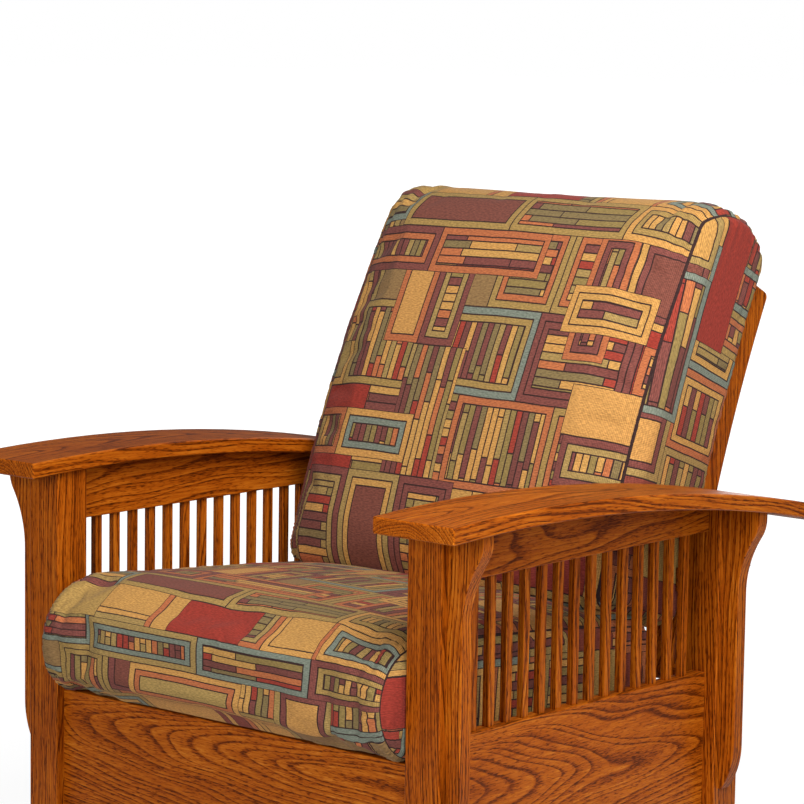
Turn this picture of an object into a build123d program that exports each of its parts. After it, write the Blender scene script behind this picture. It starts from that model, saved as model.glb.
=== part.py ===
from build123d import *
import math
import os

os.makedirs("parts", exist_ok=True)

# Mission armchair with bowed arms, slatted sides, a reclining back on pins and a support bar.
# Front is -Y, up is +Z. The origin is on the floor, at the middle of the chair's width and depth.
# The sitter's left side is +X. Every side piece is built there and mirrored to the other side.

# Frame sizes (millimetres)
post = 57.0
post_edge_round = 2.5
foot_chamfer = 2.0
seat_opening = 642.0
side_span = 552.0

# Bowed arms
arm_width = 133.5
arm_thick = 22.0
arm_edge = 1.8
arm_side_overhang = 65.0
arm_front_overhang = 56.0
arm_rear_overhang = 162.0
arm_crest_height = 615.0
arm_crest_setback = 179.0
bow_radius = 3060.0

# Rails, panels and their joints
board_thick = 22.0
board_edge_round = 1.5
side_board_recess = 20.0
end_board_recess = 13.0
top_rail_rear_depth = 37.0
panel_low = 80.0
side_panel_high = 316.0
front_panel_drop = 3.0
rear_panel_lip = 2.0
tenon_length = 18.0
tenon_thick = 10.0
tenon_shoulder = 10.0
post_tenon_across = 25.0
post_tenon_high = 12.0

# Side slats
slat_count = 14
slat_wide = 12.7
slat_thick = 10.5
slat_end_gap = 37.0
slat_edge = 0.8
slat_pocket_deep = 6.0

# Corbels under the arms
corbel_thick = 22.0
corbel_setback = 12.0
corbel_length = 402.0
corbel_under_arm = 9.0
corbel_body_out = 24.0
corbel_lip = 10.0
corbel_bulge_radius = 50.0
corbel_hollow_radius = 150.0
corbel_toe_length = 65.0
corbel_toe_out = 4.0
corbel_edge = 1.0

# Sloping seat
seat_tilt = 5.0
seat_front_height = 284.0
deck_thick = 12.0
deck_vent_across = 30.0
deck_vent_rows = 2
deck_vents_in_row = 3
cleat_wide = 34.0
cleat_high = 30.0

# Reclining back
back_side_clear = 9.5
back_post_wide = 38.0
back_post_thick = 37.0
back_post_edge = 1.5
back_post_length = 566.0
back_top_round = 9.0
back_curve_radius = 2300.0
back_lean = 12.5
back_rail_thick = 20.0
back_top_rail_high = 80.0
back_slat_high = 60.0
back_bottom_rail_high = 64.0
back_rail_shoulder = 8.0
back_rail_edge = 1.5
pin_height = 310.0
pin_setback = 14.5
pin_across = 12.0
pin_in_back = 25.0
pin_in_post = 18.0
pin_collar_across = 24.0

# Support bar and its notched ledgers
bar_across = 20.0
bar_end_clear = 1.0
bar_edge = 1.0
bar_drop = 52.5
bar_lift = 6.5
bar_rear_gap = 3.0
recline = 16.0
notch_count = 3
notch_land = 3.6
notch_floor = 6.0
notch_deep = 4.0
ledger_thick = 18.0
ledger_high = 34.0
ledger_front_inset = 3.0
ledger_end_wide = 5.0
ledger_nose_high = 16.0

# Seat cushion
seat_cushion_side_gap = 5.0
seat_cushion_rear_gap = 61.0
seat_cushion_high = 155.0
seat_cushion_crown = 36.0
seat_nose_overhang = 65.0
seat_nose_round = 55.0
seat_rear_round = 26.0
seat_end_drawn = 34.0
seat_end_inset = 12.0
seat_end_drop = 14.0

# Back cushion
back_cushion_side_inset = 2.0
back_cushion_length = 530.0
back_cushion_thick_top = 158.0
back_cushion_thick_bottom = 192.0
back_cushion_crown = 12.0
back_cushion_top_bulge = 40.0
back_cushion_bottom_hollow = 2.5
back_end_drawn = 44.0
back_end_inset = 34.0
back_end_drop = 10.0

# How a cushion runs in to its sewn ends, from the end to the middle:
# shares of the drawn length, of the crown and of the end's inset
cushion_end_shares = [
    (0.0, 0.06, 1.0),
    (0.12, 0.1, 0.68),
    (0.35, 0.17, 0.36),
    (0.65, 0.24, 0.14),
    (1.0, 0.3, 0.03),
]
# How the crown rises from there, by shares of the half width from the middle
cushion_crown_shares = [(0.7, 0.56), (0.45, 0.82), (0.2, 0.97)]

# Clearances
seat_gap = 0.3
cushion_rest_gap = 0.5
tenon_clear = 0.15
tenon_end_clear = 0.5
pin_clear = 0.08
pin_post_clear = 0.05
collar_clear = 0.5
deck_clear = 1.0
bar_clear = 0.5
cut_over = 5.0

# Places along the depth and width, worked out from the sizes above
arm_length = arm_front_overhang + post + side_span + post + arm_rear_overhang
arm_front_y = -arm_length / 2
arm_rear_y = arm_length / 2
crest_y = arm_front_y + arm_crest_setback
bow_center_z = arm_crest_height - bow_radius
front_post_y = arm_front_y + arm_front_overhang
side_front_y = front_post_y + post
side_rear_y = side_front_y + side_span
rear_post_back_y = side_rear_y + post
post_in_x = seat_opening / 2
post_out_x = post_in_x + post
arm_out_x = post_out_x + arm_side_overhang
arm_in_x = arm_out_x - arm_width
side_board_out_x = post_out_x - side_board_recess
side_board_in_x = side_board_out_x - board_thick
side_board_mid_x = (side_board_in_x + side_board_out_x) / 2
front_panel_y = front_post_y + end_board_recess
rear_panel_y = rear_post_back_y - end_board_recess - board_thick
under_arm_radius = bow_radius - arm_thick
bow_rear_z = bow_center_z + math.sqrt(under_arm_radius**2 - (side_rear_y - crest_y) ** 2)
top_rail_low = bow_rear_z - top_rail_rear_depth
bar_height = top_rail_low - bar_drop
slat_pitch = (side_span - 2 * slat_end_gap - slat_wide) / (slat_count - 1)
corbel_top_out = arm_side_overhang - corbel_under_arm
back_out_x = arm_in_x - back_side_clear
back_in_x = back_out_x - back_post_wide
back_mid_radius = back_curve_radius + back_post_thick / 2
back_front_radius = back_curve_radius + back_post_thick
pin_y = side_rear_y + pin_setback
back_curve_y = pin_y + back_mid_radius * math.cos(math.radians(back_lean))
back_curve_z = pin_height - back_mid_radius * math.sin(math.radians(back_lean))
back_top_angle = back_lean + math.degrees(back_post_length / back_mid_radius)
seat_slope = math.tan(math.radians(seat_tilt))
front_panel_high = seat_front_height - front_panel_drop
rear_panel_high = seat_front_height - (rear_panel_y - front_panel_y) * seat_slope + rear_panel_lip
seat_nose_y = front_panel_y - seat_nose_overhang
seat_cushion_width = seat_opening - 2 * seat_cushion_side_gap
seat_cushion_run = side_rear_y - seat_cushion_rear_gap - seat_nose_y
seat_cushion_depth = seat_cushion_run / math.cos(math.radians(seat_tilt))
back_cushion_width = 2 * (back_out_x - back_cushion_side_inset)


# Trial steps in finding where the back cushion rests
rest_steps = 8


def block(x0, x1, y0, y1, z0, z1):
    """A box between two corners."""
    middle = Pos((x0 + x1) / 2, (y0 + y1) / 2, (z0 + z1) / 2)
    return middle * Box(x1 - x0, y1 - y0, z1 - z0)


def side_face(edges):
    """A face in the side view, from edges given at X = 0."""
    return Face(Wire(edges))


def across(face, x0, x1):
    """A side-view face drawn out between two places along X."""
    return Pos(x0, 0, 0) * extrude(face, amount=x1 - x0, dir=(1, 0, 0))


def polygon(points):
    """Straight edges round a list of side-view points (y, z)."""
    loop = [(0, y, z) for y, z in points]
    return [Line(a, b) for a, b in zip(loop, loop[1:] + loop[:1])]


def bow_z(y, radius):
    """Height of the arm's bow at a place along the depth, for one of its radii."""
    return bow_center_z + math.sqrt(radius**2 - (y - crest_y) ** 2)


def under_arm():
    """Everything below the arms, less a hair, which trims the tops of what carries them."""
    radius = under_arm_radius - seat_gap
    y0 = arm_front_y - cut_over
    y1 = arm_rear_y + cut_over
    top = ThreePointArc(
        (0, y0, bow_z(y0, radius)),
        (0, crest_y, bow_z(crest_y, radius)),
        (0, y1, bow_z(y1, radius)),
    )
    sides = [
        Line((0, y1, bow_z(y1, radius)), (0, y1, -cut_over)),
        Line((0, y1, -cut_over), (0, y0, -cut_over)),
        Line((0, y0, -cut_over), (0, y0, bow_z(y0, radius))),
    ]
    return across(side_face([top] + sides), 0, arm_out_x + cut_over)


UNDER_ARM = under_arm()


def side_tenon(high, low, front):
    """Tenon of a side board in the front or the rear post."""
    x0 = side_board_mid_x - tenon_thick / 2
    x1 = side_board_mid_x + tenon_thick / 2
    z0 = low + tenon_shoulder
    z1 = high - tenon_shoulder
    if front:
        return [x0, x1, side_front_y - tenon_length, side_front_y, z0, z1]
    return [x0, x1, side_rear_y, side_rear_y + tenon_length, z0, z1]


def end_tenon(board_y, high):
    """Tenon of the front or the rear panel in a post."""
    y0 = board_y + (board_thick - tenon_thick) / 2
    z0 = panel_low + tenon_shoulder
    return [post_in_x, post_in_x + tenon_length, y0, y0 + tenon_thick, z0, high - tenon_shoulder]


def mortise(tenon, axis):
    """The pocket for a tenon: its box with a clearance, and a longer one at the blind end."""
    grow = [-tenon_clear, tenon_clear] * 3
    grow[2 * axis] = -tenon_end_clear
    grow[2 * axis + 1] = tenon_end_clear
    return block(*[place + more for place, more in zip(tenon, grow)])


def rail_top_at(front):
    """Height at which a top rail's tenon ends below the bow, at the front or rear post."""
    place = side_front_y if front else side_rear_y
    return bow_z(place, under_arm_radius)


def post_tenon(y0, clear):
    """The round tenon on a post's top, or its hole in the arm when there is a clearance."""
    y = y0 + post / 2
    radius = post_tenon_across / 2 + clear
    low = bow_z(y, under_arm_radius) - post_tenon_across
    high = bow_z(y, under_arm_radius) + post_tenon_high + clear
    peg = Cylinder(radius, high - low)
    return Pos((post_in_x + post_out_x) / 2, y, (low + high) / 2) * peg


def post_blank(y0):
    """A square post with eased corners, trimmed to the bow, with its round tenon."""
    blank = block(post_in_x, post_out_x, y0, y0 + post, 0, arm_crest_height)
    blank = fillet(blank.edges().filter_by(Axis.Z), post_edge_round)
    blank = chamfer(blank.faces().sort_by(Axis.Z)[0].edges(), foot_chamfer)
    return (blank & UNDER_ARM) + post_tenon(y0, 0)


def front_post():
    """Front post with mortises for the top rail, the side panel and the front panel."""
    part = post_blank(front_post_y)
    part -= mortise(side_tenon(rail_top_at(True), top_rail_low, True), 1)
    part -= mortise(side_tenon(side_panel_high, panel_low, True), 1)
    part -= mortise(end_tenon(front_panel_y, front_panel_high), 0)
    return part


def rear_post():
    """Rear post with its mortises and the bore for the back's pin."""
    part = post_blank(side_rear_y)
    part -= mortise(side_tenon(rail_top_at(False), top_rail_low, False), 1)
    part -= mortise(side_tenon(side_panel_high, panel_low, False), 1)
    part -= mortise(end_tenon(rear_panel_y, rear_panel_high), 0)
    bore = pin_rod(post_in_x - cut_over, post_in_x + pin_in_post + tenon_end_clear, pin_post_clear)
    return part - bore


def slat_places():
    """The front faces of the slats, evenly spaced between the posts."""
    first = side_front_y + slat_end_gap
    return [first + i * slat_pitch for i in range(slat_count)]


def slat_pockets(z0, z1):
    """Shallow pockets that take the slats' ends."""
    x0 = side_board_mid_x - slat_thick / 2 - tenon_clear
    x1 = side_board_mid_x + slat_thick / 2 + tenon_clear
    cuts = []
    for y in slat_places():
        cuts.append(block(x0, x1, y - tenon_clear, y + slat_wide + tenon_clear, z0, z1))
    return cuts


def side_slat(y):
    """One square slat, let into the panel below and the rail above."""
    z0 = side_panel_high - slat_pocket_deep + seat_gap
    z1 = top_rail_low + slat_pocket_deep - seat_gap
    x0 = side_board_mid_x - slat_thick / 2
    slat = block(x0, x0 + slat_thick, y, y + slat_wide, z0, z1)
    return chamfer(slat.edges().filter_by(Axis.Z), slat_edge)


def top_rail():
    """Side rail under the arm: straight below, bowed above."""
    rail = block(
        side_board_in_x, side_board_out_x, side_front_y, side_rear_y, top_rail_low, arm_crest_height
    )
    low_edges = rail.faces().sort_by(Axis.Z)[0].edges().filter_by(Axis.Y)
    rail = fillet(low_edges, board_edge_round) & UNDER_ARM
    rail += block(*side_tenon(rail_top_at(True), top_rail_low, True))
    rail += block(*side_tenon(rail_top_at(False), top_rail_low, False))
    for cut in slat_pockets(top_rail_low - cut_over, top_rail_low + slat_pocket_deep):
        rail -= cut
    return rail


def side_panel():
    """Deep side board below the slats."""
    panel = block(
        side_board_in_x, side_board_out_x, side_front_y, side_rear_y, panel_low, side_panel_high
    )
    panel = fillet(panel.edges().filter_by(Axis.Y), board_edge_round)
    panel += block(*side_tenon(side_panel_high, panel_low, True))
    panel += block(*side_tenon(side_panel_high, panel_low, False))
    for cut in slat_pockets(side_panel_high - slat_pocket_deep, side_panel_high + cut_over):
        panel -= cut
    return panel


def end_panel(y0, high):
    """Deep board between the two front posts or the two rear posts."""
    panel = block(-post_in_x, post_in_x, y0, y0 + board_thick, panel_low, high)
    panel = fillet(panel.edges().filter_by(Axis.X), board_edge_round)
    tenon = block(*end_tenon(y0, high))
    return panel + tenon + mirror(tenon, about=Plane.YZ)


def arm():
    """A board of even thickness on the bow, cut off square at both ends."""
    edges = []
    for radius, first, last in (
        (bow_radius, arm_front_y, arm_rear_y),
        (under_arm_radius, arm_rear_y, arm_front_y),
    ):
        middle = (0, crest_y, bow_z(crest_y, radius))
        start = (0, first, bow_z(first, radius))
        edges.append(ThreePointArc(start, middle, (0, last, bow_z(last, radius))))
    edges.insert(1, Line(edges[0] @ 1, edges[1] @ 0))
    edges.append(Line(edges[2] @ 1, edges[0] @ 0))
    board = across(side_face(edges), arm_in_x, arm_out_x)
    board = chamfer(board.edges(), arm_edge)
    for y0 in (front_post_y, side_rear_y):
        board -= post_tenon(y0, tenon_clear)
    return board


def corbel(post_y):
    """A long bracket on a post's outer face, flared in an S under the arm and rounded at its toe."""
    y0 = post_y + corbel_setback
    top_z = bow_z(y0 + corbel_thick / 2, under_arm_radius)
    low_z = top_z - corbel_length
    # Both arcs of the flare turn by the same angle, so that they meet without a corner.
    radii = corbel_bulge_radius + corbel_hollow_radius
    turn = math.acos(1 - (corbel_top_out - corbel_body_out) / radii)
    top_x = post_out_x + corbel_top_out
    body_x = post_out_x + corbel_body_out
    lip_z = top_z - corbel_lip
    half = turn / 2
    bulge_x = top_x - corbel_bulge_radius * (1 - math.cos(turn))
    bulge_z = lip_z - corbel_bulge_radius * math.sin(turn)
    body_z = lip_z - radii * math.sin(turn)
    bulge_mid = (
        top_x - corbel_bulge_radius * (1 - math.cos(half)),
        lip_z - corbel_bulge_radius * math.sin(half),
    )
    hollow_mid = (
        body_x + corbel_hollow_radius * (1 - math.cos(half)),
        body_z + corbel_hollow_radius * math.sin(half),
    )
    toe_z = low_z + corbel_toe_length
    toe_drop = corbel_body_out - corbel_toe_out
    toe_radius = (toe_drop**2 + corbel_toe_length**2) / (2 * toe_drop)
    toe_turn = math.asin(corbel_toe_length / toe_radius) / 2
    toe_mid = (
        body_x - toe_radius * (1 - math.cos(toe_turn)),
        toe_z - toe_radius * math.sin(toe_turn),
    )
    high_z = arm_crest_height
    points = [
        (post_out_x, high_z),
        (top_x, high_z),
        (top_x, lip_z),
        (bulge_x, bulge_z),
        (body_x, body_z),
        (body_x, toe_z),
        (post_out_x + corbel_toe_out, low_z),
        (post_out_x, low_z),
    ]
    p = [(x, y0, z) for x, z in points]
    edges = [
        Line(p[0], p[1]),
        Line(p[1], p[2]),
        ThreePointArc(p[2], (bulge_mid[0], y0, bulge_mid[1]), p[3]),
        ThreePointArc(p[3], (hollow_mid[0], y0, hollow_mid[1]), p[4]),
        Line(p[4], p[5]),
        ThreePointArc(p[5], (toe_mid[0], y0, toe_mid[1]), p[6]),
        Line(p[6], p[7]),
        Line(p[7], p[0]),
    ]
    board = extrude(Face(Wire(edges)), amount=corbel_thick, dir=(0, 1, 0))
    sides = board.faces().sort_by(Axis.Y)
    outline = sides[0].edges() + sides[-1].edges()
    free = [edge for edge in outline if edge.center().X > post_out_x + corbel_edge]
    return chamfer(free, corbel_edge) & UNDER_ARM


def seat_z(y):
    """Height of the cushion's flat underside."""
    return seat_front_height - (y - front_panel_y) * seat_slope


def seat_board(y0, y1, top, thick, x0, x1):
    """A board that follows the seat's slope, its top so far below the cushion."""
    points = [
        (y0, seat_z(y0) - top),
        (y1, seat_z(y1) - top),
        (y1, seat_z(y1) - top - thick),
        (y0, seat_z(y0) - top - thick),
    ]
    return across(side_face(polygon(points)), x0, x1)


def seat_deck():
    """Plywood deck under the cushion, with rows of vent holes."""
    half = post_in_x - deck_clear
    y0 = front_panel_y + board_thick + deck_clear
    y1 = rear_panel_y - deck_clear
    deck = seat_board(y0, y1, seat_gap, deck_thick, -half, half)
    for row in range(deck_vent_rows):
        y = y0 + (y1 - y0) * (row + 1) / (deck_vent_rows + 1)
        for i in range(deck_vents_in_row):
            x = half * (2 * i + 1 - deck_vents_in_row) / deck_vents_in_row
            cut = Cylinder(deck_vent_across / 2, 2 * (deck_thick + cut_over))
            deck -= Pos(x, y, seat_z(y)) * cut
    return deck


def seat_cleat():
    """Strip on the side panel that carries the deck."""
    x0 = side_board_in_x - cleat_wide
    return seat_board(
        side_front_y, side_rear_y, seat_gap + deck_thick, cleat_high, x0, side_board_in_x
    )


def bent(radius, along):
    """Point (y, z) on the back's curve, at an angle from its level radius in degrees."""
    turn = math.radians(along)
    return (back_curve_y - radius * math.cos(turn), back_curve_z + radius * math.sin(turn))


def bent_arc(radius, first, last):
    """Arc along the back's curve between two angles."""
    marks = [bent(radius, a) for a in (first, (first + last) / 2, last)]
    return ThreePointArc(*[(0, y, z) for y, z in marks])


def pin_rod(x0, x1, clear):
    """The pin's round length between two places along X."""
    rod = Cylinder(pin_across / 2 + clear, x1 - x0, rotation=(0, 90, 0))
    return Pos((x0 + x1) / 2, pin_y, pin_height) * rod


def back_pin():
    """Turned pin with a collar that keeps the back clear of the post."""
    pin = pin_rod(back_out_x - pin_in_back, post_in_x + pin_in_post, 0)
    x0 = back_out_x + collar_clear
    x1 = post_in_x - collar_clear
    collar = Cylinder(pin_collar_across / 2, x1 - x0, rotation=(0, 90, 0))
    return pin + Pos((x0 + x1) / 2, pin_y, pin_height) * collar


def back_rail_places():
    """Height and middle angle of the back's four cross rails, from the bottom up."""
    highs = [back_bottom_rail_high, back_slat_high, back_slat_high, back_top_rail_high]
    up_shares = [0.17, 0.42, 0.65, 0.88]
    step = back_top_angle - back_lean
    return [(high, back_lean + step * share) for high, share in zip(highs, up_shares)]


def back_board(half, thick, high, angle):
    """A board across the back, leaning with the curve where it sits."""
    y, z = bent(back_mid_radius, angle)
    return Pos(0, y, z) * Rot(-angle, 0, 0) * Box(2 * half, thick, high)


def back_rail(high, angle):
    """One cross rail with a tenon at each end."""
    rail = back_board(back_in_x, back_rail_thick, high, angle)
    rail = fillet(rail.edges().filter_by(Axis.X), back_rail_edge)
    tenon_high = high - 2 * back_rail_shoulder
    return rail + back_board(back_in_x + tenon_length, tenon_thick, tenon_high, angle)


def back_post():
    """Curved upright of the back, round at its pin, with an eased top corner."""
    front = bent_arc(back_front_radius, back_lean, back_top_angle)
    rear = bent_arc(back_curve_radius, back_top_angle, back_lean)
    edges = [front, Line(front @ 1, rear @ 0), rear, Line(rear @ 1, front @ 0)]
    upright = across(side_face(edges), back_in_x, back_out_x)
    top_edges = upright.edges().filter_by(Axis.X).sort_by(Axis.Z)[-2:]
    upright = fillet(top_edges.sort_by(Axis.Y)[-1], back_top_round)
    eye = Cylinder(back_post_thick / 2, back_post_wide, rotation=(0, 90, 0))
    upright += Pos((back_in_x + back_out_x) / 2, pin_y, pin_height) * eye
    for face in (upright.faces().sort_by(Axis.X)[0], upright.faces().sort_by(Axis.X)[-1]):
        upright = chamfer(face.outer_wire().edges(), back_post_edge)
    blind = back_out_x - pin_in_back - tenon_end_clear
    upright -= pin_rod(blind, back_out_x + cut_over, pin_clear)
    for high, angle in back_rail_places():
        half = back_in_x + tenon_length + tenon_end_clear
        thick = tenon_thick + 2 * tenon_clear
        tenon_high = high - 2 * back_rail_shoulder + 2 * tenon_clear
        upright -= back_board(half, thick, tenon_high, angle)
    return upright


def turned(y, z, degrees):
    """Where a side-view point goes when the back reclines by an angle."""
    turn = math.radians(degrees)
    dy = y - pin_y
    dz = z - pin_height
    return (
        pin_y + dy * math.cos(turn) + dz * math.sin(turn),
        pin_height - dy * math.sin(turn) + dz * math.cos(turn),
    )


def bar_y(degrees, gap):
    """Where the bar's middle stands behind the back posts, at a recline."""
    y, z = turned(back_curve_y, back_curve_z, degrees)
    reach = back_curve_radius - bar_across / 2 - gap
    return y - math.sqrt(reach**2 - (bar_height - z) ** 2)


BAR_REST_Y = bar_y(0, bar_clear)
BAR_END_Y = bar_y(recline, bar_rear_gap)
# The bar is lifted from notch to notch; one even arch over the teeth stands for that.
BAR_TRAVEL = BAR_END_Y - BAR_REST_Y
BAR_SWING_RADIUS = BAR_TRAVEL**2 / (8 * bar_lift) + bar_lift / 2
BAR_AXIS_Y = (BAR_REST_Y + BAR_END_Y) / 2
BAR_AXIS_Z = bar_height + bar_lift - BAR_SWING_RADIUS
BAR_SWING = 2 * math.degrees(math.asin(BAR_TRAVEL / 2 / BAR_SWING_RADIUS))


def support_bar():
    """Round bar behind the back posts, in its first notches."""
    bar_length = 2 * (post_in_x - bar_end_clear)
    bar = Cylinder(bar_across / 2, bar_length, rotation=(0, 90, 0))
    bar = chamfer(bar.edges().filter_by(GeomType.CIRCLE), bar_edge)
    return Pos(0, BAR_REST_Y, bar_height) * bar


def ledger():
    """Notched strip on the rear post's inner face, running on behind the post."""
    floor_z = bar_height - bar_across / 2 - seat_gap
    top_z = floor_z + notch_deep
    pitch = BAR_TRAVEL / (notch_count - 1)
    notch_wide = pitch - notch_land
    y0 = side_rear_y + ledger_front_inset
    y1 = BAR_END_Y + notch_wide / 2 + ledger_end_wide
    points = [(y0, top_z - ledger_high), (y0, top_z)]
    for i in range(notch_count):
        y = BAR_REST_Y + i * pitch
        points.append((y - notch_wide / 2, top_z))
        points.append((y - notch_floor / 2, floor_z))
        points.append((y + notch_floor / 2, floor_z))
        points.append((y + notch_wide / 2, top_z))
    points.append((y1, top_z))
    points.append((y1, top_z - ledger_nose_high))
    points.append((rear_post_back_y, top_z - ledger_high))
    return across(side_face(polygon(points)), post_in_x - ledger_thick, post_in_x)


def seat_point(deep, up):
    """Side-view point of the seat cushion, by its depth from the nose and height off the deck."""
    turn = math.radians(seat_tilt)
    y = seat_nose_y + deep * math.cos(turn) + up * math.sin(turn)
    z = seat_z(seat_nose_y) - deep * math.sin(turn) + up * math.cos(turn)
    return (0, y, z)


def seat_section(x, crown, inset, drop):
    """One cut through the seat cushion: flat below, crowned above, with a rounded nose."""
    low = 0
    high = seat_cushion_high - drop
    front = inset
    rear = seat_cushion_depth - inset
    a = seat_point(front + seat_nose_round, low)
    b = seat_point(front + seat_nose_round, high)
    c = seat_point(rear - seat_rear_round, high)
    d = seat_point(rear - seat_rear_round, low)
    nose = ThreePointArc(a, seat_point(front, (low + high) / 2), b)
    top = ThreePointArc(b, seat_point((front + rear) / 2, high + crown), c)
    back = ThreePointArc(c, seat_point(rear, (low + high) / 2), d)
    return Pos(x, 0, 0) * side_face([nose, top, back, Line(d, a)])


def cushion_stations(width, drawn):
    """Places across a cushion for its sections, with shares of the crown and of the inset."""
    half = width / 2
    stations = [(half - drawn * share, crown, end) for share, crown, end in cushion_end_shares]
    stations += [(half * share, crown, 0) for share, crown in cushion_crown_shares]
    left = [(-x, crown, end) for x, crown, end in stations]
    return left + [(0, 1, 0)] + stations[::-1]


def seat_cushion():
    """Thick loose seat cushion: crowned top, bullnose front and drawn-in ends."""
    sections = []
    for x, crown, end in cushion_stations(seat_cushion_width, seat_end_drawn):
        crown *= seat_cushion_crown
        sections.append(seat_section(x, crown, seat_end_inset * end, seat_end_drop * end))
    return loft(sections, ruled=True)


def seat_crown_point(deep):
    """Side-view point (y, z) on the crown of the seat cushion, by its depth from the nose."""
    first = seat_nose_round
    last = seat_cushion_depth - seat_rear_round
    radius = (last - first) ** 2 / (8 * seat_cushion_crown) + seat_cushion_crown / 2
    rise = math.sqrt(radius**2 - (deep - (first + last) / 2) ** 2) - radius
    return seat_point(deep, seat_cushion_high + seat_cushion_crown + rise)[1:]


def back_cushion_rest():
    """Angle at which the back cushion's front corner comes down on the seat cushion."""
    reach = back_front_radius + back_cushion_thick_bottom
    deep = seat_cushion_depth / 2
    # Each step moves the trial point by how far it still is from the back cushion's front.
    for _ in range(rest_steps):
        y, z = seat_crown_point(deep)
        deep += math.hypot(y - back_curve_y, z - back_curve_z) - reach
    angle = math.degrees(math.atan2(z - back_curve_z, back_curve_y - y))
    return angle + math.degrees(cushion_rest_gap / reach)


back_cushion_low = back_cushion_rest()
back_cushion_high = back_cushion_low + math.degrees(back_cushion_length / back_mid_radius)


def back_section(x, crown, inset, drop):
    """One cut through the back cushion, following the posts' curve behind."""
    rear = back_front_radius + seat_gap
    drop_angle = math.degrees(drop / back_front_radius)
    low = back_cushion_low + drop_angle
    high = back_cushion_high - drop_angle
    front_low = back_front_radius + back_cushion_thick_bottom - inset
    front_high = back_front_radius + back_cushion_thick_top - inset
    top_bulge = math.degrees(back_cushion_top_bulge / front_high)
    hollow = math.degrees(back_cushion_bottom_hollow / front_low)
    middle = (low + high) / 2

    def at(radius, angle):
        return (0, *bent(radius, angle))

    behind = ThreePointArc(at(rear, low), at(rear, middle), at(rear, high))
    over = ThreePointArc(
        at(rear, high), at((rear + front_high) / 2, high + top_bulge), at(front_high, high)
    )
    crest = at((front_low + front_high) / 2 + crown, middle)
    before = ThreePointArc(at(front_high, high), crest, at(front_low, low))
    under = ThreePointArc(
        at(front_low, low), at((rear + front_low) / 2, low + hollow), at(rear, low)
    )
    return Pos(x, 0, 0) * side_face([behind, over, before, under])


def back_cushion():
    """Thick loose back cushion, rounded over at the top and full at the bottom."""
    sections = []
    for x, crown, end in cushion_stations(back_cushion_width, back_end_drawn):
        crown *= back_cushion_crown
        sections.append(back_section(x, crown, back_end_inset * end, back_end_drop * end))
    return loft(sections, ruled=True)


def both_sides(name, part, parts):
    """Keep a left-hand piece and its mirror image."""
    parts[name + "_left"] = part
    parts[name + "_right"] = mirror(part, about=Plane.YZ)


def all_parts():
    """Every piece of the chair, by name."""
    parts = {}
    both_sides("front_post", front_post(), parts)
    both_sides("rear_post", rear_post(), parts)
    both_sides("arm", arm(), parts)
    both_sides("front_corbel", corbel(front_post_y), parts)
    both_sides("rear_corbel", corbel(side_rear_y), parts)
    both_sides("top_rail", top_rail(), parts)
    both_sides("side_panel", side_panel(), parts)
    for number, y in enumerate(slat_places(), start=1):
        both_sides(f"side_slat_{number:02d}", side_slat(y), parts)
    parts["front_panel"] = end_panel(front_panel_y, front_panel_high)
    parts["rear_panel"] = end_panel(rear_panel_y, rear_panel_high)
    both_sides("seat_cleat", seat_cleat(), parts)
    parts["seat_deck"] = seat_deck()
    both_sides("back_post", back_post(), parts)
    rail_names = ["back_bottom_rail", "back_slat_lower", "back_slat_upper", "back_top_rail"]
    for name, (high, angle) in zip(rail_names, back_rail_places()):
        parts[name] = back_rail(high, angle)
    both_sides("back_pin", back_pin(), parts)
    both_sides("bar_ledger", ledger(), parts)
    parts["support_bar"] = support_bar()
    parts["seat_cushion"] = seat_cushion()
    parts["back_cushion"] = back_cushion()
    return parts


for node, shape in all_parts().items():
    shape.label = node
    export_step(shape, f"parts/{node}.step")

print("pin axis y, z:", round(pin_y, 3), pin_height)
print("bar axis y, z:", round(BAR_AXIS_Y, 3), round(BAR_AXIS_Z, 3))
print("bar rest y and travel:", round(BAR_REST_Y, 3), round(BAR_TRAVEL, 3))
print("bar swing and ratio to the recline:", round(BAR_SWING, 4), round(BAR_SWING / recline, 5))
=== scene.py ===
# %% [markdown]
# # A reclining armchair in stained oak, with two tapestry cushions
#
# The chair is a mission pattern: square posts, bowed arms, a row of square slats under each arm and
# a back that leans on a bar. Its wood is red oak with an orange-brown stain under satin lacquer, and
# its two loose cushions have covers of jacquard tapestry.
#
# Every wooden piece comes from the chair's frame at its real size and place. This lesson gives the
# wood its grain, and makes the cushions as stuffed cloth. Lengths are in metres, as in the frame,
# and small sizes are written in millimetres times MM.

# %% Load the chair's frame
import math

import bmesh
import bpy
from mathutils import Matrix, Vector, kdtree


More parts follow.
